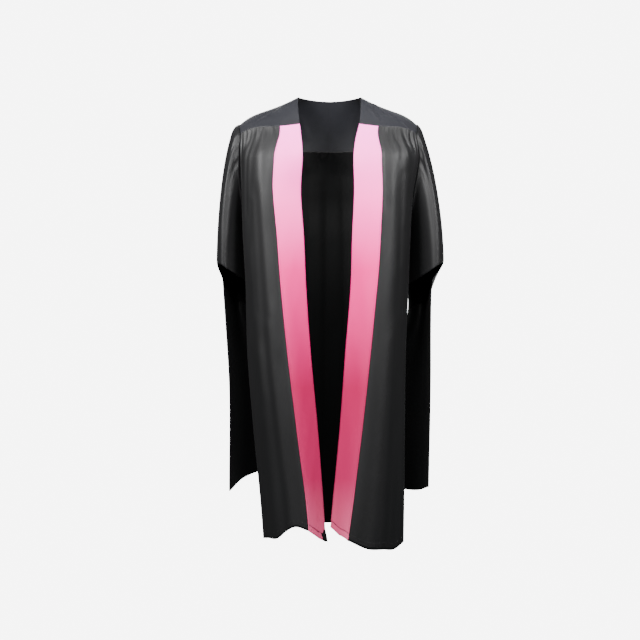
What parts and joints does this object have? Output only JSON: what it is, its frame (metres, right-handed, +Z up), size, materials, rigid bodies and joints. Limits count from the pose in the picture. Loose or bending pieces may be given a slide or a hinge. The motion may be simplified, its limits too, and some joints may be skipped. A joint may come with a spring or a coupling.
{
  "type": "graduation gown",
  "caption": "Open-fronted black graduation gown with pink satin facings, a yoke, gathered fronts and back, and long closed sleeves, hollow as worn.",
  "frame": {"origin": "between the shoulders, at the height where the yoke bears on them", "axes": "+Z up, the gown's length; -Y towards its open front; +X towards the wearer's left"},
  "size_m": [0.611, 0.3403, 1.2105],
  "materials": {
    "black_cloth": "smooth polyester with a soft sheen",
    "yoke_cloth": "smooth polyester with a soft sheen",
    "pink_satin": "satin"
  },
  "bodies": {
    "root": {"yoke": "yoke_cloth", "front_left": "black_cloth", "front_right": "black_cloth", "facing_left": "pink_satin", "facing_right": "pink_satin", "back": "black_cloth", "sleeve_left": "black_cloth", "sleeve_right": "black_cloth", "sleeve_end_left": "black_cloth", "sleeve_end_right": "black_cloth"}
  },
  "joints": []
}
